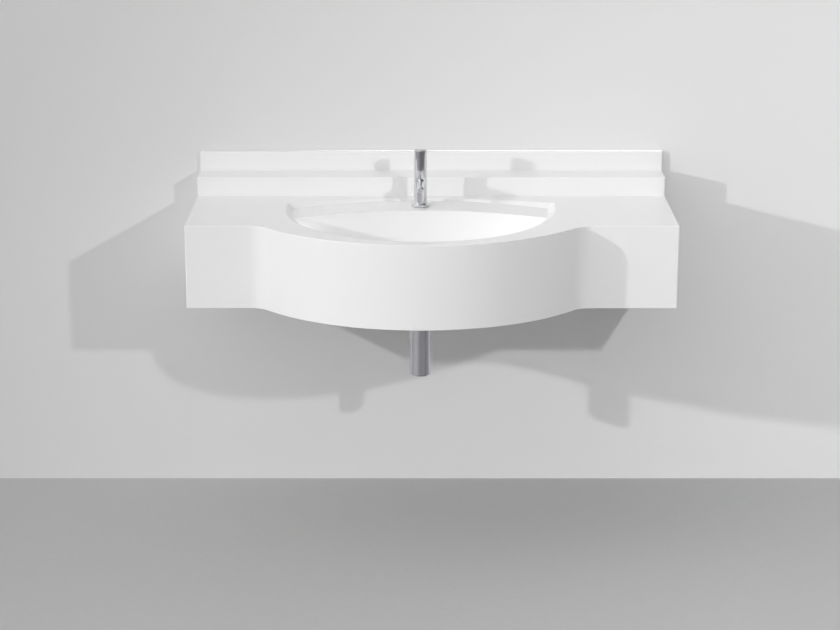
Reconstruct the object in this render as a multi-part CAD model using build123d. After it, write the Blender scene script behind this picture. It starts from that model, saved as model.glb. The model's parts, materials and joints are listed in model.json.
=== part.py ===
from build123d import *
import math
import os

os.makedirs("parts", exist_ok=True)

# Wall-hung vanity basin in solid-surface sheet, with pillar tap and bottle trap.
# Millimetres. X to the right seen from the front, -Y towards the user, +Z up.
# Origin: on the wall plane (back face), level with the top of the deck,
# on the centreline of the bowl, tap and trap.

# ---------------------------------------------------------------- dimensions
X_LEFT, X_RIGHT = -620.0, 680.0       # ends of the basin, bowl is off centre
WING_Y = -480.0                       # front of the straight wings
BOW_R, BOW_CY = 516.0, -180.0         # bowed front, plan radius and centre
BOW_FILLET = 60.0                     # hollow corner between wing and bow
SHEET = 12.0                          # solid-surface sheet thickness
APRON_Z = -224.0                      # bottom of the aprons
EDGE_R = 1.8                          # rounding of the exposed edges
CORNER_R = 2.6                        # upright corners

LEDGE_Y, LEDGE_H = -113.0, 53.0       # rear shelf: front face and height
SPLASH_T, SPLASH_TOP = 16.0, 106.0    # backsplash thickness and top
SPLASH_LOW = -30.0                    # backsplash goes down behind the deck

REC_A, REC_B, REC_CY = 366.0, 394.0, -263.0   # half ellipse round the bowl
BACK_CY = -1448.0                     # centre of the shallow rear arcs
REC_BACK_R = 1300.0                   # rear edge of the tap platform
BOWL_BACK_R = 1168.0                  # rear edge of the bowl itself
LAND = 6.0                            # flat land between deck and bevel
RIM_R = 7.0                           # rolled edge where the land turns into the bevel
BEVEL_DEPTH, BEVEL_RUN = 16.0, 23.0   # sloping band round the recess
PLAT_C, PLAT_E, PLAT_X = 4.0, 13.0, 345.0     # crowned platform, depths
BOWL_FLOOR = -138.0
DISH = 4.0                            # extra fall to the waste
SHELL = 11.0                          # bowl wall

TAP_Y = -221.0
TAP_R = 17.8
TAP_TOP = 151.5
BUTTON_R, BUTTON_TOP, BUTTON_TRAVEL = 12.4, 152.5, 4.0
SPOUT_R, SPOUT_Z, SPOUT_REACH, SPOUT_FALL = 9.25, 67.5, 104.0, 2.5
FLANGE_R = 25.0
TAP_HOLE_R = 17.5
PLAT_TOP = -PLAT_C

WASTE_Y = -360.0
PIPE_R = 16.0
PIPE_BODY_R = 15.8                    # outlet pipe before its sized end
TRAP_R = 28.7
TRAP_BOTTOM = -442.0
SEAL_Z = -309.0                       # joint between trap head and cup
OUTLET_Z = -286.0
STUB = 35.0                           # trap pipe beyond the wall plane

BRACKET_X = 430.0
BRACKET_W, BRACKET_T = 50.0, 8.0
HOLE_R = 5.5                          # wall fixing holes
HOLE_Z1, HOLE_Z2 = -90.0, -270.0
GUSSET_IN, HOLE_OUT = 12.0, 8.0       # gusset and holes, off the bracket's middle


def write(shape, name):
    export_step(shape, "parts/%s.step" % name)


def vec(x, y, z=0.0):
    return (x, y, z)


# ------------------------------------------------------------ plan outlines
def bow_points(off):
    """Bow and hollow corners of the front outline, moved inwards by off."""
    r = BOW_R - off
    rf = BOW_FILLET + off
    wy = WING_Y + off
    drop = BOW_CY - WING_Y            # distance from bow centre to wing line
    cy = WING_Y - BOW_FILLET
    cx = math.sqrt((BOW_R + BOW_FILLET) ** 2 - (drop + BOW_FILLET) ** 2)
    tx = cx * r / (BOW_R + BOW_FILLET)
    ty = BOW_CY + (cy - BOW_CY) * r / (BOW_R + BOW_FILLET)
    a0 = math.pi / 2
    a1 = math.atan2(BOW_CY - cy, 0 - cx)
    am = (a0 + a1) / 2
    fm = (cx + rf * math.cos(am), cy + rf * math.sin(am))
    return r, wy, (cx, wy), fm, (tx, ty)


def front_edges(off, xl, xr):
    r, wy, a, m, t = bow_points(off)
    return [
        Line(vec(xl, wy), vec(-a[0], wy)),
        ThreePointArc(vec(-a[0], wy), vec(-m[0], m[1]), vec(-t[0], t[1])),
        ThreePointArc(vec(-t[0], t[1]), vec(0, BOW_CY - r), vec(t[0], t[1])),
        ThreePointArc(vec(t[0], t[1]), vec(m[0], m[1]), vec(a[0], wy)),
        Line(vec(a[0], wy), vec(xr, wy)),
    ]


def plan_face(off, xl, xr, yb):
    es = front_edges(off, xl, xr)
    wy = WING_Y + off
    es += [Line(vec(xr, wy), vec(xr, yb)), Line(vec(xr, yb), vec(xl, yb)),
           Line(vec(xl, yb), vec(xl, wy))]
    return make_face(es)


def rec_corner(off):
    x = REC_A - off
    r = REC_BACK_R - off
    return x, BACK_CY + math.sqrt(r * r - x * x)


def rec_edges(off, z):
    """Outline of the recess round tap platform and bowl, moved inwards."""
    x, y = rec_corner(off)
    b = REC_B - off
    return [
        ThreePointArc(vec(-x, y, z), vec(0, BACK_CY + REC_BACK_R - off, z), vec(x, y, z)),
        Line(vec(x, y, z), vec(x, REC_CY, z)),
        EllipticalCenterArc((0, REC_CY, z), x, b, start_angle=180, arc_size=180),
        Line(vec(-x, REC_CY, z), vec(-x, y, z)),
    ]


def rec_face(off, z):
    return make_face(rec_edges(off, z))


def bowl_section(se, sb, sx, z, n=48):
    """One level of the bowl: rear arc and front half ellipse, drawn in by se, sb and, at the ends, sx."""
    a, b = 370.0 - sx, REC_B - se
    r = BOWL_BACK_R - sb
    # meeting point of the rear arc and the ellipse on the right side
    lo, hi = 0.0, a
    f = lambda x: (BACK_CY + math.sqrt(r * r - x * x)) - (REC_CY - b * math.sqrt(max(0.0, 1 - (x / a) ** 2)))
    for _ in range(80):
        m = (lo + hi) / 2
        if f(m) > 0:
            lo = m
        else:
            hi = m
    xc = lo
    yc = BACK_CY + math.sqrt(r * r - xc * xc)
    t0 = math.acos(xc / a)
    pts = []
    for i in range(n + 1):
        t = t0 + (math.pi - 2 * t0) * i / n
        pts.append((a * math.cos(t), REC_CY - b * math.sin(t), z))
    pts[0] = (xc, yc, z)
    pts[-1] = (-xc, yc, z)
    back = ThreePointArc(vec(-xc, yc, z), vec(0, BACK_CY + r, z), vec(xc, yc, z))
    front = Spline(*pts[::4])
    return Wire([back, front])


def bowl_loft(levels, grow=0.0):
    ws = [bowl_section(se - grow, sb - grow, sx - grow, z) for se, sb, sx, z in levels]
    return Solid.make_loft(ws)


# ------------------------------------------------------------ basin in sheet
Z0 = -SHEET
deck = extrude(plan_face(0, X_LEFT, X_RIGHT, -SPLASH_T), SHEET)
deck = deck.moved(Location((0, 0, -SHEET)))
deck = fillet(deck.edges().filter_by(Axis.Z).filter_by(lambda e: e.center().Y < WING_Y + 1
                                                       and abs(e.center().X) > 600), CORNER_R)
deck = fillet(deck.edges().filter_by(lambda e: abs(e.center().Z) < 0.01
                                     and e.center().Y < -SPLASH_T - 100), EDGE_R)
opening = extrude(rec_face(-LAND, 0), 60).moved(Location((0, 0, -40)))
deck_top = deck - opening

# moulded bowl: flange under the deck, tap platform, bowl shell
levels = [(15.0, -4.0, 15.0, 4.0), (24.0, 0.0, 24.0, -14.0), (29.0, 9.0, 58.0, -45.0), (40.0, 22.0, 112.0, -82.0),
          (60.0, 32.0, 166.0, -110.0), (90.0, 41.0, 212.0, -127.0), (128.0, 51.0, 248.0, -135.5), (176.0, 62.0, 278.0, BOWL_FLOOR)]
cavity = bowl_loft(levels)
outer_levels = [(24.0, -2.0, 24.0, -16.0), (28.0, 8.0, 56.0, -45.0), (38.0, 20.0, 108.0, -82.0),
                (58.0, 31.0, 164.0, -113.0), (88.0, 39.0, 206.0, -133.0), (124.0, 47.0, 240.0, -144.0), (165.0, 56.0, 268.0, BOWL_FLOOR - SHELL)]
shell = bowl_loft(outer_levels, SHELL)
insert = extrude(rec_face(-LAND, 0), SHEET).moved(Location((0, 0, -SHEET)))
flange = extrude(rec_face(-18.0, 0), 14.0).moved(Location((0, 0, -SHEET - 14.0)))
boss = Pos(0, WASTE_Y, BOWL_FLOOR - SHELL - 4) * Cylinder(44, 20, align=(Align.CENTER, Align.CENTER, Align.MIN))
bowl = insert + flange + shell + boss

bevel = loft([rec_face(0, 0), rec_face(BEVEL_RUN, -BEVEL_DEPTH)], ruled=True)
over = extrude(rec_face(0, 0), 6)
crown_r = (PLAT_X ** 2 + (PLAT_E - PLAT_C) ** 2) / (2 * (PLAT_E - PLAT_C))
crown = Pos(0, -300, -PLAT_C - crown_r) * Rot(90, 0, 0) * Cylinder(crown_r, 900)
keep_low = Pos(0, -300, 0) * Box(900, 900, 60, align=(Align.CENTER, Align.CENTER, Align.CENTER)) - crown
recess = (bevel + over) & keep_low
bowl = bowl - recess - cavity
dish_tool = loft([Pos(0, WASTE_Y, BOWL_FLOOR - DISH) * Circle(31.8), Pos(0, WASTE_Y - 44, BOWL_FLOOR + 0.6) * Circle(68.0)], ruled=True)
bowl = bowl - dish_tool
seat = Pos(0, WASTE_Y, BOWL_FLOOR - DISH - 3.0) * Cylinder(32.0, 14.0, align=(Align.CENTER, Align.CENTER, Align.MIN))
bowl = bowl - seat - Pos(0, WASTE_Y, BOWL_FLOOR - 20) * Cylinder(22.5, 80)
bowl = bowl - Pos(0, TAP_Y, -15) * Cylinder(TAP_HOLE_R, 60)
rim = [e for e in bowl.edges() if any((e.center() - g.center()).length < 0.5 and abs(e.length - g.length) < 1.0
                                     for g in rec_face(0, 0).edges())]
bowl = fillet(rim, RIM_R)
bowl_moulding = bowl

# aprons
a_out = plan_face(0, X_LEFT - 5, X_RIGHT + 5, -150)
a_in = plan_face(SHEET, X_LEFT - 9, X_RIGHT + 9, -100)
strip = extrude(a_out - a_in, -APRON_Z - SHEET).moved(Location((0, 0, APRON_Z)))
_, _, _pa, _, _ = bow_points(0)
BX = _pa[0]
apron_bow = strip & (Pos(0, -600, -100) * Box(2 * BX, 600, 400))
apron_bow = fillet(apron_bow.edges().filter_by(lambda e: abs(e.center().Z - APRON_Z) < 0.01
                                               and e.length > 60), EDGE_R - 0.2)


def slab(x0, x1, y0, y1, z0, z1):
    return Pos((x0 + x1) / 2, (y0 + y1) / 2, (z0 + z1) / 2) * Box(abs(x1 - x0), abs(y1 - y0), abs(z1 - z0))


def soften(s, test, r):
    return fillet(s.edges().filter_by(test), r)


def wing(x0, x1, xo):
    w = slab(x0, x1, WING_Y, WING_Y + SHEET, APRON_Z, Z0)
    w = fillet(w.edges().filter_by(Axis.Z).filter_by(lambda e: abs(e.center().X - xo) < 0.01
                                                     and abs(e.center().Y - WING_Y) < 0.01), CORNER_R)
    return fillet(w.edges().filter_by(lambda e: abs(e.center().Z - APRON_Z) < 0.01 and
                                      e.center().Y < WING_Y + SHEET - 0.5 and
                                      abs(e.center().X - (x0 + x1 - xo)) > 0.5), EDGE_R - 0.2)


apron_wing_left = wing(X_LEFT, -BX, X_LEFT)
apron_wing_right = wing(BX, X_RIGHT, X_RIGHT)

end_l = slab(X_LEFT, X_LEFT + SHEET, WING_Y + SHEET, 0, APRON_Z, Z0)
end_l = end_l - slab(X_LEFT - 1, X_LEFT + SHEET + 1, -SPLASH_T, 1, SPLASH_LOW, Z0 + 1)
end_panel_left = soften(end_l, lambda e: abs(e.center().Z - APRON_Z) < 0.01 and abs(e.center().X - X_LEFT) < 0.01, EDGE_R - 0.2)
end_r = slab(X_RIGHT - SHEET, X_RIGHT, WING_Y + SHEET, 0, APRON_Z, Z0)
end_r = end_r - slab(X_RIGHT - SHEET - 1, X_RIGHT + 1, -SPLASH_T, 1, SPLASH_LOW, Z0 + 1)
end_panel_right = soften(end_r, lambda e: abs(e.center().Z - APRON_Z) < 0.01 and abs(e.center().X - X_RIGHT) < 0.01, EDGE_R - 0.2)

# rear shelf box and backsplash
ledge_front = slab(X_LEFT, X_RIGHT, LEDGE_Y, LEDGE_Y + SHEET, 0, LEDGE_H - SHEET)
ledge_top = slab(X_LEFT, X_RIGHT, LEDGE_Y, -SPLASH_T, LEDGE_H - SHEET, LEDGE_H)
ledge_front = fillet(ledge_front.edges().filter_by(Axis.Z).filter_by(lambda e: abs(e.center().Y - LEDGE_Y) < 0.01), CORNER_R)
ledge_top = fillet(ledge_top.edges().filter_by(Axis.Z).filter_by(lambda e: abs(e.center().Y - LEDGE_Y) < 0.01), CORNER_R)
ledge_top = soften(ledge_top, lambda e: abs(e.center().Z - LEDGE_H) < 0.01 and e.center().Y < -SPLASH_T - 0.5, EDGE_R)
ledge_end_left = slab(X_LEFT, X_LEFT + SHEET, LEDGE_Y + SHEET, -SPLASH_T, 0, LEDGE_H - SHEET)
ledge_end_right = slab(X_RIGHT - SHEET, X_RIGHT, LEDGE_Y + SHEET, -SPLASH_T, 0, LEDGE_H - SHEET)
backsplash = slab(X_LEFT, X_RIGHT, -SPLASH_T, 0, SPLASH_LOW, SPLASH_TOP)
backsplash = fillet(backsplash.edges().filter_by(Axis.Z).filter_by(lambda e: abs(e.center().Y + SPLASH_T) < 0.01), 0.8)
backsplash = soften(backsplash, lambda e: abs(e.center().Z - SPLASH_TOP) < 0.01 and e.center().Y < -0.5, EDGE_R - 0.2)

# ------------------------------------------------------------ wall brackets
ARM_Z = -48.0                          # top of the bracket arm
BAT_T = -SHEET - ARM_Z                 # batten thickness
ARM_FRONT = -400.0


SCREW_Y = (-80.0, -220.0, -360.0)


def bracket(side):
    cx = side * BRACKET_X
    w = BRACKET_W / 2
    t = BRACKET_T
    plate = slab(cx - w, cx + w, -t, 0, -310, ARM_Z)
    arm = slab(cx - w, cx + w, ARM_FRONT, 0, ARM_Z - t, ARM_Z)
    pts = [(-t, -300), (-t, ARM_Z - t), (-370, ARM_Z - t), (-370, ARM_Z - t - 20), (-t - 30, -300)]
    ring = [Line((0, pts[i][0], pts[i][1]), (0, pts[(i + 1) % 5][0], pts[(i + 1) % 5][1])) for i in range(5)]
    gusset = extrude(make_face(ring), 3, both=True).moved(Location((cx - side * GUSSET_IN, 0, 0)))
    b = plate + arm + gusset
    for z in (HOLE_Z1, HOLE_Z2):
        b -= Pos(cx + side * HOLE_OUT, -t / 2, z) * Rot(90, 0, 0) * Cylinder(HOLE_R, 3 * t)
    for y in SCREW_Y:
        b -= Pos(cx + side * HOLE_OUT, y, ARM_Z) * Cylinder(3.2, 40)
    return b


def screw(cx, y):
    head = Pos(cx, y, ARM_Z - BRACKET_T) * Cylinder(6.5, 3.5, align=(Align.CENTER, Align.CENTER, Align.MAX))
    head = fillet(head.edges().filter_by(lambda e: e.center().Z < ARM_Z - BRACKET_T - 1), 1.6)
    drive = Pos(cx, y, ARM_Z - BRACKET_T - 3.5) * extrude(RegularPolygon(2.6, 6), 2.2)
    shank = Pos(cx, y, ARM_Z - BRACKET_T) * Cylinder(2.5, BRACKET_T + 22, align=(Align.CENTER, Align.CENTER, Align.MIN))
    return head - drive + shank


def batten(side):
    cx = side * BRACKET_X
    b = slab(cx - 35, cx + 35, -420, -30, ARM_Z, Z0)
    for y in SCREW_Y:
        b -= Pos(cx + side * HOLE_OUT, y, ARM_Z) * Cylinder(2.6, 2 * 24)
    return b


batten_left, batten_right = batten(-1), batten(1)
bracket_left, bracket_right = bracket(-1), bracket(1)
bracket_screws = Compound([screw(side * (BRACKET_X + HOLE_OUT), y) for side in (-1, 1) for y in SCREW_Y])

# -------------------------------------------------------------------- tap
UP = (Align.CENTER, Align.CENTER, Align.MIN)


def tube(x, y, z0, z1, ro, ri=0.0):
    s = Pos(x, y, z0) * Cylinder(ro, z1 - z0, align=UP)
    if ri > 0:
        s -= Pos(x, y, z0 - 1) * Cylinder(ri, z1 - z0 + 2, align=UP)
    return s


def edge_at(s, z, r, rad):
    return fillet(s.edges().filter_by(GeomType.CIRCLE).filter_by(
        lambda e: abs(e.arc_center.Z - z) < 0.01 and abs(e.radius - r) < 0.05), rad)


P = PLAT_TOP
BORE_R = 13.5
tap_base_seal = tube(0, TAP_Y, P, P + 1.0, FLANGE_R - 1.5, 18.1)
tap_flange = tube(0, TAP_Y, P + 1.0, P + 8.0, FLANGE_R, TAP_R + 0.15)
tap_flange = edge_at(tap_flange, P + 8.0, FLANGE_R, 1.8)
tap_body = tube(0, TAP_Y, P + 1.0, TAP_TOP, TAP_R)
tap_body = edge_at(tap_body, TAP_TOP, TAP_R, 1.0)
tap_body -= tube(0, TAP_Y, 78, TAP_TOP + 5, BORE_R)
tap_body -= tube(0, TAP_Y, 20, 90, 8.0)
tap_body -= tube(0, TAP_Y, P, 20.1, 10.55)
tap_body -= tube(0, TAP_Y, TAP_TOP - 9, TAP_TOP + 5, BUTTON_R + 1.18)
SPX = Pos(0, TAP_Y, SPOUT_Z) * Rot(90 + SPOUT_FALL, 0, 0)      # local +Z runs out along the spout
tap_body -= SPX * Cylinder(SPOUT_R + 0.02, 60, align=UP)
tap_body -= Pos(0, TAP_Y, 20) * Cylinder(8.0, 60, align=UP)

sp = SPX * Cylinder(SPOUT_R, SPOUT_REACH, align=UP)
sp = fillet(sp.edges().filter_by(GeomType.CIRCLE).filter_by(lambda e: e.arc_center.Y < TAP_Y - 50), 5.0)
OUT_Y = TAP_Y - SPOUT_REACH + 13.0
OUT_Z = SPOUT_Z - (SPOUT_REACH - 13.0) * math.tan(math.radians(SPOUT_FALL))
sp += Pos(0, OUT_Y, OUT_Z - SPOUT_R - 2.2) * Cylinder(8.6, 6.0, align=UP)
sp -= SPX * Pos(0, 0, -1) * Cylinder(6.6, SPOUT_REACH - 5, align=UP)
sp -= Pos(0, OUT_Y, OUT_Z - SPOUT_R - 3.0) * Cylinder(7.2, 9.0, align=UP)
sp -= tube(0, TAP_Y, SPOUT_Z - 40, SPOUT_Z + 40, 13.52)
tap_spout = sp
aer = Pos(0, OUT_Y, OUT_Z - SPOUT_R - 2.6) * Cylinder(7.1, 7.0, align=UP)
holes = [Pos(0, OUT_Y, OUT_Z - SPOUT_R - 5) * Cylinder(0.75, 20, align=UP)]
for ring, count in ((2.6, 6), (5.0, 12)):
    for i in range(count):
        a = 2 * math.pi * i / count
        holes.append(Pos(ring * math.cos(a), OUT_Y + ring * math.sin(a), OUT_Z - SPOUT_R - 5) * Cylinder(0.75, 20, align=UP))
for h in holes:
    aer -= h
tap_aerator = aer

btn = tube(0, TAP_Y, TAP_TOP - 20.5, BUTTON_TOP, BUTTON_R)
btn = edge_at(btn, BUTTON_TOP, BUTTON_R, 0.9)
btn += tube(0, TAP_Y, TAP_TOP - 20.5, TAP_TOP - 14.0, BORE_R - 0.07)
btn -= tube(0, TAP_Y, TAP_TOP - 21.5, BUTTON_TOP - 5, 9.6)
btn -= tube(0, TAP_Y, BUTTON_TOP - 5.1, BUTTON_TOP - 2.0, 3.0)
tap_button = btn
tap_button_seal = tube(0, TAP_Y, TAP_TOP - 3.4, TAP_TOP - 1.8, BUTTON_R + 1.15, BUTTON_R + 0.06)
CART_TOP = 118.0
tap_cartridge = tube(0, TAP_Y, 78.0, CART_TOP, BORE_R - 0.05, 3.07)
tap_plunger = tube(0, TAP_Y, 92.0, BUTTON_TOP - 2.0, 3.0)
coil_r, wire_r, turns = 7.2, 0.7, 5
sz0, sz1 = CART_TOP + wire_r, BUTTON_TOP - 5 - wire_r
helix = Helix(pitch=(sz1 - sz0) / turns, height=sz1 - sz0, radius=coil_r)
wire_face = Plane(origin=helix @ 0, z_dir=helix % 0) * Circle(wire_r)
tap_spring = sweep(wire_face, path=helix, is_frenet=True).moved(Location((0, TAP_Y, sz0)))

PLATE_LOW = -SHEET - 14.0
NUT_LOW = PLATE_LOW - 15.0
# the free end of the tail is at full thread size, the part inside nut and tap is 0.2 smaller
tap_shank = tube(0, TAP_Y, -72.0, NUT_LOW, 10.48, 6.5) + tube(0, TAP_Y, NUT_LOW, 19.0, 10.28, 6.5)
tap_clamp_seal = tube(0, TAP_Y, PLATE_LOW - 3, PLATE_LOW, 22.5, 10.7)
tap_clamp_washer = tube(0, TAP_Y, PLATE_LOW - 5, PLATE_LOW - 3, 22.5, 10.7)
nut = Pos(0, TAP_Y, PLATE_LOW - 15) * extrude(RegularPolygon(16.0, 6), 10.0)
nut = chamfer(nut.edges().filter_by(GeomType.LINE).filter_by(lambda e: e.center().Z < PLATE_LOW - 14.9), 0.9)
tap_backnut = nut - tube(0, TAP_Y, -100, 0, 10.52)

# ------------------------------------------------------------------- waste
WS = BOWL_FLOOR - DISH - 3.0            # seat of the waste flange
BOSS_LOW = BOWL_FLOOR - SHELL - 4.0
waste_seal_upper = tube(0, WASTE_Y, WS, WS + 1.5, 31.0, 21.2)
wb = tube(0, WASTE_Y, WS + 1.5, WS + 4.5, 31.5)
wb = edge_at(wb, WS + 4.5, 31.5, 1.4)
wb += tube(0, WASTE_Y, -206.0, WS + 2.0, 20.95)
wb -= tube(0, WASTE_Y, -207.0, WS + 0.5, 17.5)
for i in range(8):
    a = 2 * math.pi * i / 8
    wb -= Pos(12.2 * math.cos(a), WASTE_Y + 12.2 * math.sin(a), WS) * Cylinder(3.9, 12)
wb -= Pos(0, WASTE_Y, WS) * Cylinder(4.2, 12)
waste_body = wb
waste_seal_lower = tube(0, WASTE_Y, BOSS_LOW - 4, BOSS_LOW, 31.0, 21.05)
ln = Pos(0, WASTE_Y, BOSS_LOW - 14) * extrude(RegularPolygon(31.0, 6), 10)
ln = chamfer(ln.edges().filter_by(GeomType.LINE).filter_by(lambda e: e.center().Z < BOSS_LOW - 13.9), 1.2)
waste_locknut = ln - tube(0, WASTE_Y, -260, -100, 21.0)

# -------------------------------------------------------------------- trap
TAIL_END = -206.0
trap_inlet_seal = tube(0, WASTE_Y, TAIL_END - 2.0, TAIL_END, 20.6, 16.2)
trap_inlet_tube = tube(0, WASTE_Y, -392.0, TAIL_END - 2.0, PIPE_R, PIPE_R - 1.0)
trap_inlet_tube += tube(0, WASTE_Y, TAIL_END - 5.0, TAIL_END - 2.0, 20.2, PIPE_R - 1.0)
inut = tube(0, WASTE_Y, TAIL_END - 9.0, TAIL_END + 16.0, 25.0)
inut = edge_at(inut, TAIL_END - 9.0, 25.0, 1.5)
inut = edge_at(inut, TAIL_END + 16.0, 25.0, 1.0)
inut -= tube(0, WASTE_Y, TAIL_END - 5.0, TAIL_END + 20.0, 21.0)
inut -= tube(0, WASTE_Y, TAIL_END - 12.0, TAIL_END, PIPE_R + 0.2)
trap_inlet_nut = inut

HEAD_TOP = -262.0
NECK_TOP = -250.0
head = tube(0, WASTE_Y, SEAL_Z, HEAD_TOP, TRAP_R)
head = edge_at(head, HEAD_TOP, TRAP_R, 2.5)
head += tube(0, WASTE_Y, HEAD_TOP - 2, NECK_TOP, 20.0)
head += tube(0, WASTE_Y, SEAL_Z - 16.0, SEAL_Z + 2, TRAP_R - 2.6)
BOSS_END = WASTE_Y + TRAP_R + 16.0
head += Pos(0, BOSS_END, OUTLET_Z) * Rot(90, 0, 0) * Cylinder(19.0, 16.0 + 12.0, align=UP)
head -= tube(0, WASTE_Y, SEAL_Z - 20.0, HEAD_TOP - 5, TRAP_R - 5.0)
head -= tube(0, WASTE_Y, -300, -200, PIPE_R + 0.2)
head -= Pos(0, BOSS_END + 1, OUTLET_Z) * Rot(90, 0, 0) * Cylinder(PIPE_R + 0.2, 16.0, align=UP)
head -= Pos(0, BOSS_END + 1, OUTLET_Z) * Rot(90, 0, 0) * Cylinder(14.0, 30.0, align=UP)
trap_head = head
trap_height_seal = tube(0, WASTE_Y, NECK_TOP, NECK_TOP + 3.0, 19.6, PIPE_R + 0.05)
hn = tube(0, WASTE_Y, NECK_TOP - 9.0, NECK_TOP + 6.5, 24.0)
hn = edge_at(hn, NECK_TOP + 6.5, 24.0, 2.0)
hn -= tube(0, WASTE_Y, NECK_TOP - 12.0, NECK_TOP + 3.0, 20.05)
hn -= tube(0, WASTE_Y, NECK_TOP - 12.0, NECK_TOP + 12.0, PIPE_R + 0.2)
trap_height_nut = hn

trap_cup_seal = tube(0, WASTE_Y, SEAL_Z - 2.0, SEAL_Z, TRAP_R - 0.7, TRAP_R - 2.3)
cup = tube(0, WASTE_Y, TRAP_BOTTOM, SEAL_Z - 2.0, TRAP_R)
cup = chamfer(cup.edges().filter_by(GeomType.CIRCLE).filter_by(lambda e: abs(e.arc_center.Z - TRAP_BOTTOM) < 0.01), 3.6)
cup = edge_at(cup, SEAL_Z - 2.0, TRAP_R, 0.5)
cup -= tube(0, WASTE_Y, TRAP_BOTTOM + 3.5, SEAL_Z + 5.0, TRAP_R - 2.3)
trap_cup = cup

nose = BOSS_END
trap_outlet_seal = Pos(0, nose + 3.0, OUTLET_Z) * Rot(90, 0, 0) * Cylinder(18.6, 3.0, align=UP)
trap_outlet_seal -= Pos(0, nose + 10.0, OUTLET_Z) * Rot(90, 0, 0) * Cylinder(PIPE_BODY_R + 0.05, 20.0, align=UP)
on = Pos(0, nose + 6.5, OUTLET_Z) * Rot(90, 0, 0) * Cylinder(23.0, 15.5, align=UP)
on = fillet(on.edges().filter_by(GeomType.CIRCLE).filter_by(lambda e: e.arc_center.Y > nose + 5), 2.0)
on -= Pos(0, nose + 3.0, OUTLET_Z) * Rot(90, 0, 0) * Cylinder(19.05, 20.0, align=UP)
on -= Pos(0, nose + 20.0, OUTLET_Z) * Rot(90, 0, 0) * Cylinder(PIPE_R + 0.2, 60.0, align=UP)
trap_outlet_nut = on
PIPE_IN = BOSS_END - 14.5
pipe = Pos(0, 0, OUTLET_Z) * Rot(90, 0, 0) * Cylinder(PIPE_BODY_R, -PIPE_IN, align=UP)
pipe += Pos(0, STUB, OUTLET_Z) * Rot(90, 0, 0) * Cylinder(PIPE_R, STUB, align=UP)     # sized end in the wall
pipe -= Pos(0, STUB + 1, OUTLET_Z) * Rot(90, 0, 0) * Cylinder(PIPE_R - 1.0, STUB - PIPE_IN + 2, align=UP)
trap_outlet_pipe = pipe
ros = Pos(0, 0, OUTLET_Z) * Rot(90, 0, 0) * Cone(35.0, 31.0, 8.0, align=UP)
ros = fillet(ros.edges().filter_by(GeomType.CIRCLE).filter_by(lambda e: e.arc_center.Y < -7), 2.5)
ros -= Pos(0, 1, OUTLET_Z) * Rot(90, 0, 0) * Cone(33.0, 29.5, 6.0, align=UP)
ros -= Pos(0, 10, OUTLET_Z) * Rot(90, 0, 0) * Cylinder(PIPE_R + 0.25, 40.0, align=UP)
wall_rosette = ros

# ------------------------------------------------------------------ write
NODES = dict(
    deck_top=deck_top, bowl_moulding=bowl_moulding, apron_bow=apron_bow,
    apron_wing_left=apron_wing_left, apron_wing_right=apron_wing_right,
    end_panel_left=end_panel_left, end_panel_right=end_panel_right,
    ledge_front=ledge_front, ledge_top=ledge_top, ledge_end_left=ledge_end_left,
    ledge_end_right=ledge_end_right, backsplash=backsplash,
    deck_batten_left=batten_left, deck_batten_right=batten_right,
    bracket_left=bracket_left, bracket_right=bracket_right, bracket_screws=bracket_screws,
    tap_body=tap_body, tap_flange=tap_flange, tap_spout=tap_spout, tap_aerator=tap_aerator,
    tap_button=tap_button, tap_button_seal=tap_button_seal, tap_cartridge=tap_cartridge,
    tap_plunger=tap_plunger, tap_spring=tap_spring, tap_base_seal=tap_base_seal,
    tap_shank=tap_shank, tap_clamp_seal=tap_clamp_seal, tap_clamp_washer=tap_clamp_washer,
    tap_backnut=tap_backnut,
    waste_body=waste_body, waste_seal_upper=waste_seal_upper, waste_seal_lower=waste_seal_lower,
    waste_locknut=waste_locknut,
    trap_inlet_nut=trap_inlet_nut, trap_inlet_seal=trap_inlet_seal, trap_inlet_tube=trap_inlet_tube,
    trap_height_nut=trap_height_nut, trap_height_seal=trap_height_seal, trap_head=trap_head,
    trap_cup_seal=trap_cup_seal, trap_cup=trap_cup, trap_outlet_nut=trap_outlet_nut,
    trap_outlet_seal=trap_outlet_seal, trap_outlet_pipe=trap_outlet_pipe, wall_rosette=wall_rosette,
)
for name, shape in NODES.items():
    write(shape, name)
    n = len(shape.solids())
    print("%-18s solids %d volume %.1f cm3 valid %s" % (name, n, shape.volume / 1000, getattr(shape, "is_valid", None)))
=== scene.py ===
import json
import math

import bmesh
import bpy
from mathutils import Matrix, Vector


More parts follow.
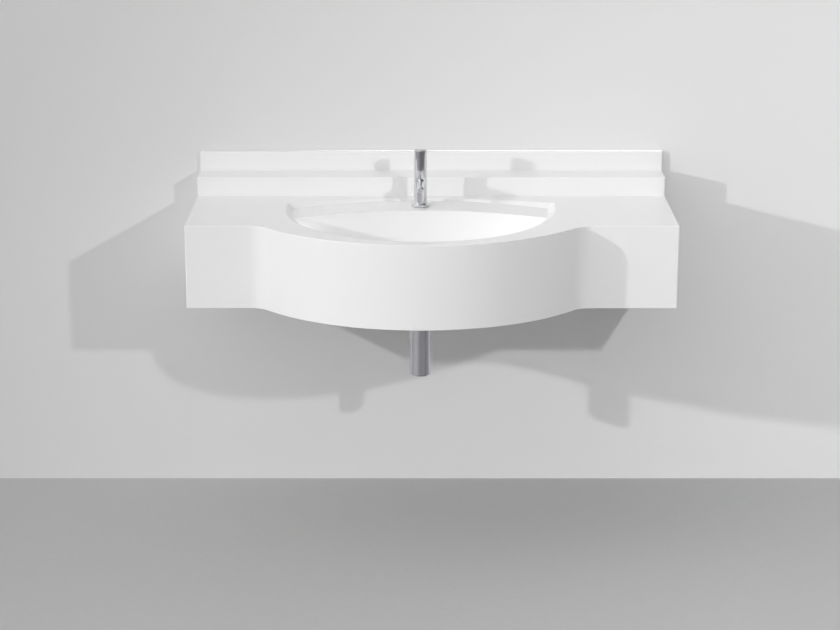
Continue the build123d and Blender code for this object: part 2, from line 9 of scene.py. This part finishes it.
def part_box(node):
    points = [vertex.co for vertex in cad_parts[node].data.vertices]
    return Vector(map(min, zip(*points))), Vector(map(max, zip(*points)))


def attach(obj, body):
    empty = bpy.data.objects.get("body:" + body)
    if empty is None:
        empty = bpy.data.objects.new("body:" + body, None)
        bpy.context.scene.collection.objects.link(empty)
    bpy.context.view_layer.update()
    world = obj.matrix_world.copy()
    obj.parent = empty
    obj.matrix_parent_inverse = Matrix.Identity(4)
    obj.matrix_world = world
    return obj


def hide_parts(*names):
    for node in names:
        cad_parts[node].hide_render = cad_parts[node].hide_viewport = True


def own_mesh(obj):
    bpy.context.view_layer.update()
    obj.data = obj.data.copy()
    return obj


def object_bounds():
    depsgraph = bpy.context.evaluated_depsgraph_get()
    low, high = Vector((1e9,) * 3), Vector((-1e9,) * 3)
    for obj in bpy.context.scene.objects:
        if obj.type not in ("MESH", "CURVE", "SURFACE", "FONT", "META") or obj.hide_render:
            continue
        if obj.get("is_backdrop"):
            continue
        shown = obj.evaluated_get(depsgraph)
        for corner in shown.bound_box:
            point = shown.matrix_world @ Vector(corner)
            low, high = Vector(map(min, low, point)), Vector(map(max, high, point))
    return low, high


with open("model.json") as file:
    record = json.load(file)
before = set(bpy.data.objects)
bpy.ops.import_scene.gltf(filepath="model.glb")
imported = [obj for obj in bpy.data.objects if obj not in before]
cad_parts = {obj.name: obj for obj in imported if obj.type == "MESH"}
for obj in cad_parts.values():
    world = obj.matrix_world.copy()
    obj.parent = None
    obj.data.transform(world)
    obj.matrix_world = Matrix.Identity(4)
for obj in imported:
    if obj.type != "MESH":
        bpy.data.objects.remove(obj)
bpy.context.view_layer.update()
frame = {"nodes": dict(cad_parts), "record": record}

NODES = frame["nodes"]
scene = bpy.context.scene

# places in the row frame, metres: wall plane Y 0, deck top Z 0, bowl centreline X 0
FLOOR_Z = -0.873
TAP_Y = -0.221
WASTE_Y = -0.360


# ------------------------------------------------------------------ node help
class Mat:
    """A material with one principled shader, and short calls for the nodes that feed it."""

    def __init__(self, name, **fixed):
        self.m = bpy.data.materials.new(name)
        self.m.use_nodes = True
        self.t = self.m.node_tree
        self.t.nodes.clear()
        self.out = self.t.nodes.new("ShaderNodeOutputMaterial")
        self.s = self.t.nodes.new("ShaderNodeBsdfPrincipled")
        self.t.links.new(self.s.outputs[0], self.out.inputs["Surface"])
        for k, v in fixed.items():
            self.s.inputs[k.replace("_", " ")].default_value = v
        self.xyz = self.t.nodes.new("ShaderNodeTexCoord").outputs["Object"]
        self.bumps = None

    def put(self, sock, value):
        if isinstance(value, bpy.types.NodeSocket):
            self.t.links.new(value, sock)
        else:
            sock.default_value = value

    def scaled(self, sx, sy, sz, vec=None):
        n = self.t.nodes.new("ShaderNodeMapping")
        n.inputs["Scale"].default_value = (sx, sy, sz)
        self.put(n.inputs["Vector"], vec or self.xyz)
        return n.outputs[0]

    def noise(self, scale, detail=3.0, rough=0.55, vec=None, distort=0.0):
        n = self.t.nodes.new("ShaderNodeTexNoise")
        n.inputs["Scale"].default_value = scale
        n.inputs["Detail"].default_value = detail
        n.inputs["Roughness"].default_value = rough
        n.inputs["Distortion"].default_value = distort
        self.put(n.inputs["Vector"], vec or self.xyz)
        return n.outputs["Fac"]

    def cells(self, scale, vec=None, feature="F1"):
        n = self.t.nodes.new("ShaderNodeTexVoronoi")
        n.feature = feature
        n.inputs["Scale"].default_value = scale
        self.put(n.inputs["Vector"], vec or self.xyz)
        return n

    def wave(self, scale, direction="Z", distort=0.0, detail=2.0, vec=None, profile="SIN", rings=False):
        n = self.t.nodes.new("ShaderNodeTexWave")
        n.wave_type = "RINGS" if rings else "BANDS"
        if rings:
            n.rings_direction = direction
        else:
            n.bands_direction = direction
        n.wave_profile = profile
        n.inputs["Scale"].default_value = scale
        n.inputs["Distortion"].default_value = distort
        n.inputs["Detail"].default_value = detail
        self.put(n.inputs["Vector"], vec or self.xyz)
        return n.outputs["Fac"]

    def span(self, fac, lo, hi, a=0.0, b=1.0, smooth=False):
        n = self.t.nodes.new("ShaderNodeMapRange")
        if smooth:
            n.interpolation_type = "SMOOTHSTEP"
        self.put(n.inputs["Value"], fac)
        n.inputs["From Min"].default_value = a
        n.inputs["From Max"].default_value = b
        n.inputs["To Min"].default_value = lo
        n.inputs["To Max"].default_value = hi
        return n.outputs["Result"]

    def mix(self, fac, a, b, blend="MIX"):
        n = self.t.nodes.new("ShaderNodeMix")
        n.data_type = "RGBA"
        n.blend_type = blend
        self.put(n.inputs["Factor"], fac)
        self.put(n.inputs["A"], a if isinstance(a, bpy.types.NodeSocket) else (*a, 1.0))
        self.put(n.inputs["B"], b if isinstance(b, bpy.types.NodeSocket) else (*b, 1.0))
        return n.outputs["Result"]

    def math(self, op, a, b=0.0, clamp=False):
        n = self.t.nodes.new("ShaderNodeMath")
        n.operation = op
        n.use_clamp = clamp
        self.put(n.inputs[0], a)
        self.put(n.inputs[1], b)
        return n.outputs[0]

    def bump(self, height, distance, strength=1.0):
        n = self.t.nodes.new("ShaderNodeBump")
        n.inputs["Distance"].default_value = distance
        n.inputs["Strength"].default_value = strength
        self.put(n.inputs["Height"], height)
        if self.bumps is not None:
            self.t.links.new(self.bumps, n.inputs["Normal"])
        self.bumps = n.outputs[0]
        self.t.links.new(self.bumps, self.s.inputs["Normal"])

    def color(self, value):
        self.put(self.s.inputs["Base Color"], value)

    def rough(self, value):
        self.put(self.s.inputs["Roughness"], value)

    def normal_axis(self, axis):
        g = self.t.nodes.new("ShaderNodeNewGeometry")
        s = self.t.nodes.new("ShaderNodeSeparateXYZ")
        self.t.links.new(g.outputs["Normal"], s.inputs[0])
        return self.math("ABSOLUTE", s.outputs[axis])


# ------------------------------------------------------------------ materials
def solid_surface():
    """White acrylic-bonded sheet: mineral filler grain, fine circular sanding, soft gloss."""
    m = Mat("solid_surface", IOR=1.49)
    tone = m.noise(2.2, 3.0, 0.5)                       # slow drift across a sheet
    grain = m.noise(900.0, 3.0, 0.6)                    # filler, about a millimetre
    fleck = m.cells(420.0)
    base = m.mix(m.span(tone, 0.0, 1.0, 0.3, 0.7), (0.856, 0.857, 0.857), (0.863, 0.863, 0.861))
    base = m.mix(m.span(grain, 0.0, 0.16, 0.35, 0.75), base, (0.810, 0.810, 0.807))
    spot = m.span(fleck.outputs["Distance"], 0.10, 0.0, 0.02, 0.14)
    base = m.mix(spot, base, (0.775, 0.778, 0.780))
    m.color(base)
    wipe = m.noise(7.0, 4.0, 0.6)
    m.rough(m.math("ADD", m.span(wipe, 0.235, 0.265, 0.3, 0.7), m.span(grain, -0.012, 0.012, 0.3, 0.7)))
    m.s.inputs["Specular IOR Level"].default_value = 0.5
    m.bump(m.noise(1400.0, 2.0, 0.5), 0.00002, 0.35)
    m.bump(m.noise(26.0, 2.0, 0.5), 0.00002, 0.3)
    return m.m


def chrome(name, rough_lo, rough_hi, film):
    """Polished plating: faint polishing waves, a thin lime film in fine dots, fingermarks."""
    m = Mat(name, Metallic=1.0)
    smear = m.noise(38.0, 5.0, 0.62)
    dots = m.cells(900.0)
    tint = m.mix(m.span(smear, 0.0, 1.0, 0.35, 0.7), (0.735, 0.735, 0.765), (0.685, 0.687, 0.715))
    tint = m.mix(m.span(dots.outputs["Distance"], film, 0.0, 0.0, 0.22), tint, (0.64, 0.643, 0.66))
    m.color(tint)
    m.rough(m.math("ADD", m.span(smear, rough_lo, rough_hi, 0.35, 0.75),
                   m.span(dots.outputs["Distance"], 0.05 * film, 0.0, 0.0, 0.2)))
    m.bump(m.noise(120.0, 2.0, 0.5), 0.00001, 0.35)
    return m.m


def turned_brass():
    """Bare brass with lathe marks running round the axis."""
    m = Mat("turned_brass", Metallic=1.0)
    lines = m.noise(1.0, 4.0, 0.6, vec=m.scaled(60.0, 60.0, 5200.0))
    tarnish = m.noise(60.0, 4.0, 0.6)
    base = m.mix(m.span(tarnish, 0.0, 1.0, 0.35, 0.7), (0.76, 0.585, 0.30), (0.60, 0.43, 0.20))
    base = m.mix(m.span(lines, 0.0, 0.35, 0.35, 0.65), base, (0.52, 0.37, 0.17))
    m.color(base)
    m.rough(m.span(tarnish, 0.24, 0.40, 0.3, 0.7))
    m.bump(lines, 0.00003, 0.5)
    return m.m


def rubber():
    m = Mat("rubber", IOR=1.5)
    dust = m.noise(300.0, 4.0, 0.6)
    m.color(m.mix(m.span(dust, 0.0, 1.0, 0.4, 0.8), (0.022, 0.022, 0.023), (0.055, 0.054, 0.052)))
    m.rough(m.span(dust, 0.55, 0.72, 0.3, 0.7))
    m.bump(m.noise(2500.0, 2.0, 0.5), 0.00003, 0.5)
    return m.m


def zinc_steel():
    m = Mat("zinc_steel", Metallic=1.0)
    spangle = m.cells(700.0)
    tone = m.noise(90.0, 3.0, 0.5)
    base = m.mix(m.span(tone, 0.0, 1.0, 0.35, 0.7), (0.62, 0.63, 0.645), (0.50, 0.51, 0.53))
    base = m.mix(m.span(spangle.outputs["Distance"], 0.25, 0.0, 0.0, 0.4), base, (0.70, 0.705, 0.70))
    m.color(base)
    m.rough(m.span(tone, 0.28, 0.42, 0.3, 0.7))
    m.bump(m.noise(1500.0, 2.0, 0.5), 0.00002, 0.5)
    return m.m


def powder_coat():
    """Light grey powder coat over plate: orange peel and faint dust."""
    m = Mat("powder_coat", IOR=1.5)
    peel = m.noise(420.0, 2.0, 0.45)
    tone = m.noise(9.0, 4.0, 0.6)
    m.color(m.mix(m.span(tone, 0.0, 1.0, 0.3, 0.7), (0.500, 0.508, 0.520), (0.455, 0.462, 0.472)))
    m.rough(m.span(peel, 0.34, 0.46, 0.3, 0.7))
    m.bump(peel, 0.00012, 0.45)
    return m.m


def plywood():
    """Birch ply: rotary grain on the faces, layers on the edges."""
    m = Mat("plywood", IOR=1.45)
    grain = m.noise(1.0, 6.0, 0.62, vec=m.scaled(260.0, 9.0, 260.0), distort=0.4)
    figure = m.noise(1.0, 3.0, 0.5, vec=m.scaled(26.0, 2.6, 26.0), distort=1.2)
    face = m.mix(m.span(grain, 0.0, 1.0, 0.3, 0.72), (0.66, 0.48, 0.29), (0.50, 0.335, 0.18))
    face = m.mix(m.span(figure, 0.0, 0.45, 0.35, 0.7), face, (0.70, 0.53, 0.34))
    ply = m.wave(1.0, "Z", vec=m.scaled(0.0, 0.0, 105.0))
    edge = m.mix(m.span(ply, 0.0, 1.0, 0.42, 0.58, smooth=True), (0.61, 0.43, 0.25), (0.36, 0.23, 0.125))
    edge = m.mix(m.span(m.noise(900.0, 3.0, 0.6), 0.0, 0.4, 0.35, 0.7), edge, (0.28, 0.18, 0.10))
    upright = m.span(m.normal_axis(2), 0.0, 1.0, 0.4, 0.6)
    m.color(m.mix(upright, edge, face))
    m.rough(m.span(grain, 0.52, 0.70, 0.3, 0.7))
    m.bump(grain, 0.00012, 0.5)
    return m.m


def acetal():
    m = Mat("acetal", IOR=1.48)
    tone = m.noise(70.0, 3.0, 0.5)
    m.color(m.mix(m.span(tone, 0.0, 1.0, 0.3, 0.7), (0.76, 0.76, 0.745), (0.70, 0.70, 0.68)))
    m.rough(m.span(tone, 0.38, 0.48, 0.3, 0.7))
    m.bump(m.noise(1800.0, 2.0, 0.5), 0.00002, 0.4)
    return m.m


MATERIALS = {
    "solid_surface": solid_surface(),
    "chrome": chrome("chrome", 0.035, 0.085, 0.25),
    "brass": turned_brass(),
    "rubber": rubber(),
    "steel": zinc_steel(),
    "bracket_paint": powder_coat(),
    "plywood": plywood(),
    "white_plastic": acetal(),
}
TRAP_CHROME = chrome("trap_chrome", 0.07, 0.15, 0.6)

for sub in frame["record"]["subparts"]:
    o = NODES[sub["node"]]
    mat = MATERIALS[sub["material_slot"]]
    if sub["material_slot"] == "chrome" and sub["node"].startswith(("trap_", "wall_", "waste_")):
        mat = TRAP_CHROME
    o.data.materials.clear()
    o.data.materials.append(mat)


# ------------------------------------------------------------- pieces in mesh
def mesh_object(name, verts, faces, slot, mat=None, smooth=True, angle=0.6):
    me = bpy.data.meshes.new(name)
    me.from_pydata([tuple(v) for v in verts], [], faces)
    me.validate()
    bm = bmesh.new()
    bm.from_mesh(me)
    bmesh.ops.remove_doubles(bm, verts=bm.verts, dist=1e-7)
    bmesh.ops.recalc_face_normals(bm, faces=bm.faces)
    for f in bm.faces:
        f.smooth = smooth
    for e in bm.edges:
        if len(e.link_faces) == 2 and e.calc_face_angle(0.0) > angle:
            e.smooth = False
    bm.to_mesh(me)
    bm.free()
    o = bpy.data.objects.new(name, me)
    scene.collection.objects.link(o)
    me.materials.append(mat or MATERIALS[slot])
    return o


def threaded_tube(name, x, y, z_low, z_high, crest, root, bore, pitch, plain_top, slot, cham=0.0012, seg=72, mat=None):
    """A pipe tail with a real helical thread from z_low up to plain_top, and a plain shank above."""
    turns_per = 10                                      # rings in one pitch
    dz = pitch / turns_per
    rings = int(round((plain_top - z_low) / dz))
    verts, faces = [], []

    def profile(u):                                     # u in 0..1 along one pitch
        t = abs(u - 0.5) * 2                            # 0 at the crest, 1 at the root
        t = min(1.0, max(0.0, (t - 0.14) / 0.72))
        return crest - (crest - root) * t

    for i in range(rings + 1):
        z = z_low + i * dz
        fade = min(1.0, (plain_top - z) / (1.5 * pitch))
        for j in range(seg):
            a = 2 * math.pi * j / seg
            u = ((z - z_low) / pitch - j / seg) % 1.0
            r = profile(u)
            r = crest + (r - crest) * fade
            lead = z - z_low
            if lead < cham * 2:
                r = min(r, root + (crest - root) * lead / (cham * 2))
            verts.append((x + r * math.cos(a), y + r * math.sin(a), z))
    for z in (plain_top + 0.0001, z_high - 0.0003):
        for j in range(seg):
            a = 2 * math.pi * j / seg
            verts.append((x + crest * math.cos(a), y + crest * math.sin(a), z))
    for r, z in ((crest - 0.0003, z_high), (bore + 0.0003, z_high), (bore, z_high - 0.0003),
                 (bore, z_low + 0.0005), (bore + 0.0005, z_low)):
        for j in range(seg):
            a = 2 * math.pi * j / seg
            verts.append((x + r * math.cos(a), y + r * math.sin(a), z))
    total = len(verts) // seg
    for i in range(total):
        k = (i + 1) % total
        for j in range(seg):
            n = (j + 1) % seg
            faces.append((i * seg + j, i * seg + n, k * seg + n, k * seg + j))
    return mesh_object(name, verts, faces, slot, mat=mat, angle=0.75)


def coil_spring(name, x, y, z0, z1, coil_r, wire_r, turns, slot, dead=0.75, seg=48, ring=12):
    """A compression spring with closed end turns, wire round in section all the way to its ends."""
    steps = int(turns * seg)
    free = (z1 - z0) - 2 * dead * wire_r * 2
    verts, faces = [], []
    path = []
    for i in range(steps + 1):
        t = i / steps * turns
        if t < dead:
            z = z0 + wire_r * 2 * t
        elif t > turns - dead:
            z = z1 - wire_r * 2 * (turns - t)
        else:
            z = z0 + wire_r * 2 * dead + free * (t - dead) / (turns - 2 * dead)
        a = 2 * math.pi * t
        path.append(Vector((x + coil_r * math.cos(a), y + coil_r * math.sin(a), z)))
    for i, p in enumerate(path):
        d = (path[min(i + 1, steps)] - path[max(i - 1, 0)]).normalized()
        out = Vector((p.x - x, p.y - y, 0)).normalized()
        up = d.cross(out).normalized()
        out = up.cross(d).normalized()
        shrink = 1.0
        for j in range(ring):
            a = 2 * math.pi * j / ring
            verts.append(p + (out * math.cos(a) + up * math.sin(a)) * wire_r * shrink)
    for i in range(steps):
        for j in range(ring):
            n = (j + 1) % ring
            faces.append((i * ring + j, i * ring + n, (i + 1) * ring + n, (i + 1) * ring + j))
    faces.append(tuple(range(ring))[::-1])
    faces.append(tuple(steps * ring + j for j in range(ring)))
    return mesh_object(name, verts, faces, slot, angle=1.0)


lo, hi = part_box("tap_spring")
spring = coil_spring("return_spring", 0.0, TAP_Y, lo.z + 0.0007, hi.z - 0.0007, 0.0072, 0.0007, 6.0, "steel")
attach(spring, "basin")
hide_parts("tap_spring")
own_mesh(spring)

lo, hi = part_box("tap_shank")
tail = threaded_tube("tap_threaded_tail", 0.0, TAP_Y, lo.z, hi.z, 0.01048, 0.00932, 0.0065, 0.001814, -0.006, "brass")
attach(tail, "basin")
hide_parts("tap_shank")


# ------------------------------------------------------------------- the stage
def one_sided(name, color, rough, speck, see_through=0.0, painted_dark_reflection=False, painted_light_drift=None):
    """A stage surface that only shows on its front side, so that views from behind still show the object.
    One with a painted dark reflection shows a darker tone only to glossy rays, a painted reflection that looks darker
    to the chrome, most of all in front and a little to the right.
    A painted light drift makes the tone drift slowly, per metre sideways and per metre up, as painted light and shade."""
    m = Mat(name)
    tone = m.mix(m.span(m.noise(speck, 5.0, 0.6), 0.0, 1.0, 0.3, 0.7), color, tuple(c * 0.97 for c in color))
    if painted_dark_reflection:
        # painted reflection: glossy rays see a darker floor tone, darkest about 0.42 rad to the right of straight
        # ahead
        place = m.t.nodes.new("ShaderNodeSeparateXYZ")
        m.t.links.new(m.xyz, place.inputs[0])
        bearing = m.math("ARCTAN2", place.outputs[0], m.math("MULTIPLY", place.outputs[1], -1.0))
        aside = m.math("ABSOLUTE", m.math("SUBTRACT", bearing, 0.42))
        painted_reflection_tone = m.mix(m.span(aside, 0.0, 1.0, 0.30, 1.15, smooth=True), (0.20, 0.20, 0.21), (0.42, 0.42, 0.43))
        tone = m.mix(m.t.nodes.new("ShaderNodeLightPath").outputs["Is Glossy Ray"], tone, painted_reflection_tone)
    if painted_light_drift:
        # painted light and shade: the tone is scaled by one plus the drift per metre, clamped to -12 and +15 per cent
        place = m.t.nodes.new("ShaderNodeSeparateXYZ")
        m.t.links.new(m.xyz, place.inputs[0])
        painted_light_ramp = m.math("ADD", m.math("MULTIPLY", place.outputs[0], painted_light_drift[0]), m.math("MULTIPLY", place.outputs[2], painted_light_drift[1]))
        painted_light_ramp = m.math("MINIMUM", m.math("MAXIMUM", painted_light_ramp, -0.12), 0.15)
        tone = m.mix(m.math("ADD", painted_light_ramp, 0.5), tuple(c * 0.5 for c in color), tuple(c * 1.5 for c in color))
    m.color(tone)
    m.rough(m.span(m.noise(speck * 2, 3.0, 0.5), rough, rough + 0.06, 0.3, 0.7))
    g = m.t.nodes.new("ShaderNodeNewGeometry")
    hole = g.outputs["Backfacing"]
    if see_through:
        path = m.t.nodes.new("ShaderNodeLightPath")
        near = m.math("LESS_THAN", path.outputs["Ray Length"], see_through)
        hole = m.math("MAXIMUM", hole, near)
    clear = m.t.nodes.new("ShaderNodeBsdfTransparent")
    mix = m.t.nodes.new("ShaderNodeMixShader")
    m.t.links.new(hole, mix.inputs[0])
    m.t.links.new(m.s.outputs[0], mix.inputs[1])
    m.t.links.new(clear.outputs[0], mix.inputs[2])
    m.t.links.new(mix.outputs[0], m.out.inputs["Surface"])
    return m.m


def sheet_object(name, corners, mat):
    me = bpy.data.meshes.new(name)
    me.from_pydata(corners, [], [(0, 1, 2, 3)])
    o = bpy.data.objects.new(name, me)
    scene.collection.objects.link(o)
    me.materials.append(mat)
    o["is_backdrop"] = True
    return o


WALL_Y = 0.0006
# the floor shows a painted dark reflection to the chrome
sheet_object("stage_floor", [(-6, -7, FLOOR_Z), (6, -7, FLOOR_Z), (6, WALL_Y, FLOOR_Z), (-6, WALL_Y, FLOOR_Z)],
             one_sided("stage_floor", (0.455, 0.455, 0.455), 0.55, 60.0, painted_dark_reflection=True))
# the backdrop is painted brighter to the right and lower down, as painted light and shade
sheet_object("stage_wall", [(-6, WALL_Y, FLOOR_Z), (6, WALL_Y, FLOOR_Z), (6, WALL_Y, 2.6), (-6, WALL_Y, 2.6)],
             one_sided("stage_wall", (0.755, 0.755, 0.755), 0.6, 40.0, see_through=0.006, painted_light_drift=(0.085, -0.085)))


# ------------------------------------------------------------------- the light
def area(name, place, target, size, power, spread=None, even=False):
    """A round soft light; an even one keeps its strength with distance, as a lamp much further off would."""
    d = bpy.data.lights.new(name, "AREA")
    d.shape = "DISK"
    d.size = size
    d.energy = power
    if spread:
        d.spread = math.radians(spread)
    if even:
        d.use_nodes = True
        t = d.node_tree
        t.nodes.clear()
        fall = t.nodes.new("ShaderNodeLightFalloff")
        fall.inputs["Strength"].default_value = 1.0
        glow = t.nodes.new("ShaderNodeEmission")
        t.links.new(fall.outputs["Constant"], glow.inputs["Strength"])
        t.links.new(glow.outputs[0], t.nodes.new("ShaderNodeOutputLight").inputs["Surface"])
    o = bpy.data.objects.new(name, d)
    o.location = place
    o.rotation_mode = "QUATERNION"
    o.rotation_quaternion = (Vector(target) - Vector(place)).to_track_quat("-Z", "Y")
    o.visible_camera = False
    scene.collection.objects.link(o)
    return o


KEY = area("key_left", (-2.79, -2.20, 0.84), (2.2, -1.2, -0.3), 0.08, 2.09, spread=140, even=True)
FILL = area("fill_right", (1.56, -3.17, 1.22), (0.03, -0.30, -0.05), 0.10, 30.0)
BACK = area("rear_soft", (0.6, 3.2, 1.4), (0.0, 0.0, -0.1), 2.4, 60.0)

# soft light from all round: most from high on the left, less from the front, hardly any from the right
w = bpy.data.worlds.new("studio")
scene.world = w
w.use_nodes = True
wt = w.node_tree
wt.nodes.clear()
w_out = wt.nodes.new("ShaderNodeOutputWorld")
w_bg = wt.nodes.new("ShaderNodeBackground")
w_bg.inputs["Color"].default_value = (1.0, 1.0, 1.0, 1.0)
wt.links.new(w_bg.outputs[0], w_out.inputs["Surface"])
w_way = wt.nodes.new("ShaderNodeTexCoord").outputs["Generated"]
w_sum = None
for toward, strength in (((-0.707, 0.0, 0.707), 1.36), ((-1.0, 0.0, 0.0), 0.44), ((0.0, -1.0, 0.0), 0.41), ((0.0, 0.0, 1.0), 0.10)):
    dot = wt.nodes.new("ShaderNodeVectorMath")
    dot.operation = "DOT_PRODUCT"
    dot.inputs[1].default_value = toward
    wt.links.new(w_way, dot.inputs[0])
    face = wt.nodes.new("ShaderNodeMath")
    face.operation = "MAXIMUM"
    face.inputs[1].default_value = 0.0
    wt.links.new(dot.outputs["Value"], face.inputs[0])
    lobe = wt.nodes.new("ShaderNodeMath")
    lobe.operation = "POWER"
    lobe.inputs[1].default_value = 2.0
    wt.links.new(face.outputs[0], lobe.inputs[0])
    add = wt.nodes.new("ShaderNodeMath")
    add.operation = "MULTIPLY_ADD"
    add.inputs[1].default_value = strength
    wt.links.new(lobe.outputs[0], add.inputs[0])
    if w_sum is None:
        add.inputs[2].default_value = 0.015
    else:
        wt.links.new(w_sum, add.inputs[2])
    w_sum = add.outputs[0]
wt.links.new(w_sum, w_bg.inputs["Strength"])

# ------------------------------------------------------------------ the camera
cam = bpy.data.objects.new("camera", bpy.data.cameras.new("camera"))
scene.collection.objects.link(cam)
cam.data.sensor_width = 36.0
cam.data.lens = 94.9
cam.data.clip_start, cam.data.clip_end = 0.05, 60.0
cam.location = (-0.0014, -6.140, 1.333)
cam.rotation_euler = (math.radians(90.0 - 15.55), 0.0, 0.0)
scene.camera = cam

scene.view_settings.view_transform = "Standard"
scene.view_settings.look = "None"
scene.view_settings.exposure = 0.0
scene.view_settings.gamma = 1.0

bpy.context.view_layer.update()
lo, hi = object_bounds()
